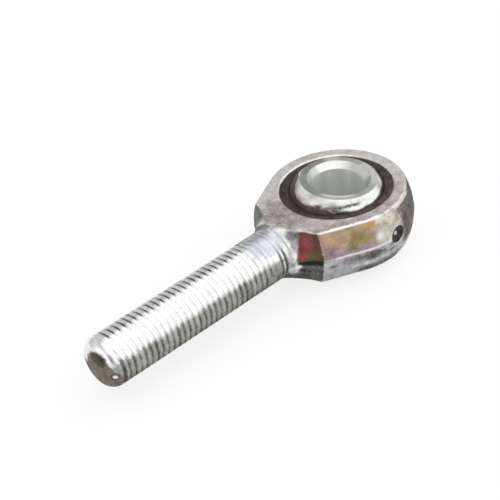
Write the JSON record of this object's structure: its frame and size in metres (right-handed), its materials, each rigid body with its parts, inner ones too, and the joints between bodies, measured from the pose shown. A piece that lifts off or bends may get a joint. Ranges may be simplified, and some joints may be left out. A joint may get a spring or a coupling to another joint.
{
  "type": "rod end bearing",
  "caption": "Male rod end: a chrome ball with a through bore swivels and tilts in a round eye, forged in one with a threaded shank.",
  "frame": {"origin": "centre of the ball, on the axis of the eye", "axes": "+X along the shank towards its tip, +Z square to the eye's milled faces, +Y towards the side of the eye that holds the nipple"},
  "size_m": [0.0447, 0.0174, 0.0098],
  "materials": {
    "plated_steel": "bright zinc plating on a forged and machined surface",
    "race_steel": "dark and matte",
    "ball_chrome": "hard chrome, polished",
    "grease": "soft lubricating grease",
    "valve_steel": "plain turned steel"
  },
  "bodies": {
    "rod": {"rod_body": "plated_steel", "race": "race_steel", "nipple_body": "valve_steel", "check_spring": "valve_steel"},
    "grease": {"grease_ring": "grease"},
    "ball": {"ball": "ball_chrome"},
    "check": {"check_ball": "ball_chrome"}
  },
  "joints": [
    {"name": "ball_swivel", "type": "hinge", "parent": "rod", "child": "grease", "pos_m": [0, 0, 0], "axis": [0, 0, 1], "continuous": true},
    {"name": "ball_tilt", "type": "hinge", "parent": "grease", "child": "ball", "pos_m": [0, 0, 0], "axis": [0.7071, 0.7071, 0], "range_deg": [-8, 18]},
    {"name": "check_slide", "type": "slide", "parent": "rod", "child": "check", "axis": [0.0872, -0.9962, 0], "range_m": [0, 0.00015], "stiffness_N_per_m": 100, "deforming": ["check_spring"]}
  ]
}
